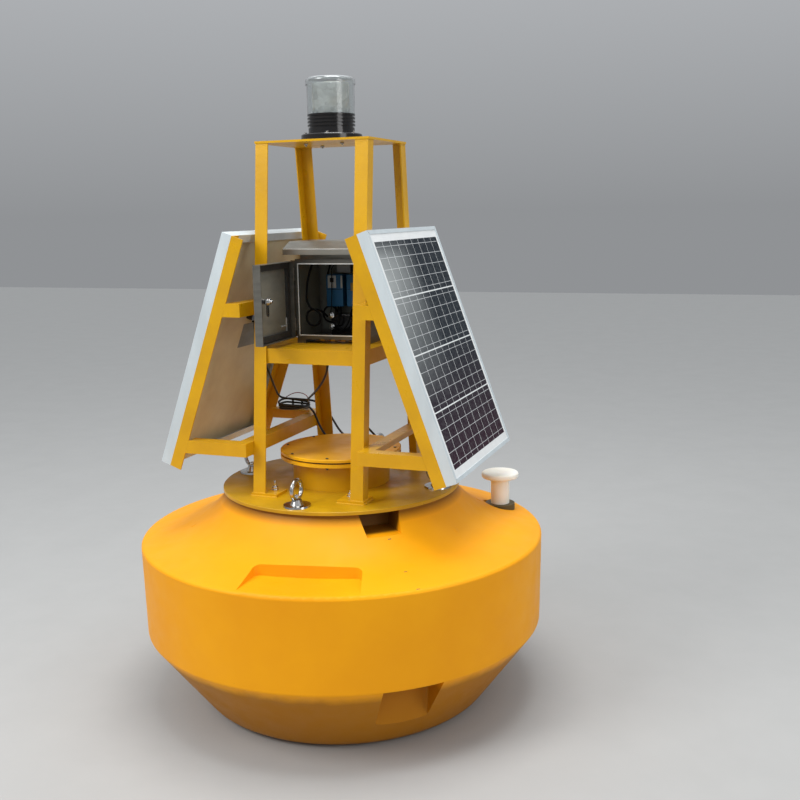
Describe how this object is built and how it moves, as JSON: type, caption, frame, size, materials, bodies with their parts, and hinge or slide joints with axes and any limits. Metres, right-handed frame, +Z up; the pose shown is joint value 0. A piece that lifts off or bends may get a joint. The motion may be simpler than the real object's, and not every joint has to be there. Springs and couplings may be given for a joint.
{
  "type": "monitoring buoy",
  "caption": "Moulded float with a bolted deck, angle-steel tower, two leaning solar panels, open instrument box and a lantern on top.",
  "frame": {"origin": "centre of the float's flat bottom, on the floor", "axes": "+Z up, -Y the side the instrument box opens to, +X to the right seen from that side, the two panels face +X and -X"},
  "size_m": [1.1996, 1.1996, 1.824],
  "materials": {
    "hull_plastic": "moulded polyethylene, low sheen",
    "bottom_steel": "painted steel, worn",
    "deck_paint": "gloss paint",
    "gasket_rubber": "matt",
    "bright_steel": "polished stainless steel",
    "tower_paint": "gloss paint",
    "panel_aluminium": "satin anodised",
    "panel_glass": "textured solar glass over dark cells",
    "black_plastic": "gloss",
    "box_steel": "brushed stainless steel",
    "module_blue": "satin",
    "radio_grey": "satin",
    "gland_metal": "nickel-plated",
    "clear_cover": "clear moulded cover",
    "lens_plastic": "ribbed lens",
    "plug_nylon": "turned nylon",
    "bush_rubber": "matt",
    "cable_rubber": "satin"
  },
  "bodies": {
    "buoy": {"back_panel": "box_steel", "battery_pack": "black_plastic", "bottom_plate": "bottom_steel", "box_wiring": "cable_rubber", "cable_box": "cable_rubber", "cable_deck_left": "cable_rubber", "cable_deck_middle": "cable_rubber", "cable_glands": "gland_metal", "cable_hank": "cable_rubber", "cable_left_panel": "cable_rubber", "cable_right": "cable_rubber", "charge_controller": "module_blue", "data_logger": "module_blue", "deck_glands": "gland_metal", "deck_plate": "deck_paint", "door_hinges": "box_steel", "enclosure_body": "box_steel", "enclosure_feet": "box_steel", "enclosure_roof": "box_steel", "foot_plates": "tower_paint", "hatch_cover": "deck_paint", "hatch_flange": "deck_paint", "hatch_gasket": "gasket_rubber", "hatch_trunk": "deck_paint", "hull": "hull_plastic", "junction_box_left": "black_plastic", "junction_box_right": "black_plastic", "lantern_base": "black_plastic", "lantern_cover": "clear_cover", "lantern_lens": "lens_plastic", "lifting_eyes": "bright_steel", "lower_bracket_left": "tower_paint", "lower_bracket_right": "tower_paint", "middle_bracket_left": "tower_paint", "middle_bracket_right": "tower_paint", "panel_frame_left": "panel_aluminium", "panel_frame_right": "panel_aluminium", "panel_laminate_left": "panel_glass", "panel_laminate_right": "panel_glass", "panel_rail_left_back": "tower_paint", "panel_rail_left_front": "tower_paint", "panel_rail_right_back": "tower_paint", "panel_rail_right_front": "tower_paint", "post_back_left": "tower_paint", "post_back_right": "tower_paint", "post_front_left": "tower_paint", "post_front_right": "tower_paint", "radio_unit": "radio_grey", "shelf_frame": "tower_paint", "shelf_plate": "tower_paint", "top_plate": "tower_paint", "well_bush": "bush_rubber", "well_plug": "plug_nylon"},
    "door": {"enclosure_door": "box_steel", "door_lock": "bright_steel"}
  },
  "joints": [
    {"name": "door_hinge", "type": "hinge", "parent": "buoy", "child": "door", "pos_m": [-0.105, -0.066, 1.1985], "axis": [0, 0, 1], "range_deg": [0, 87]}
  ]
}
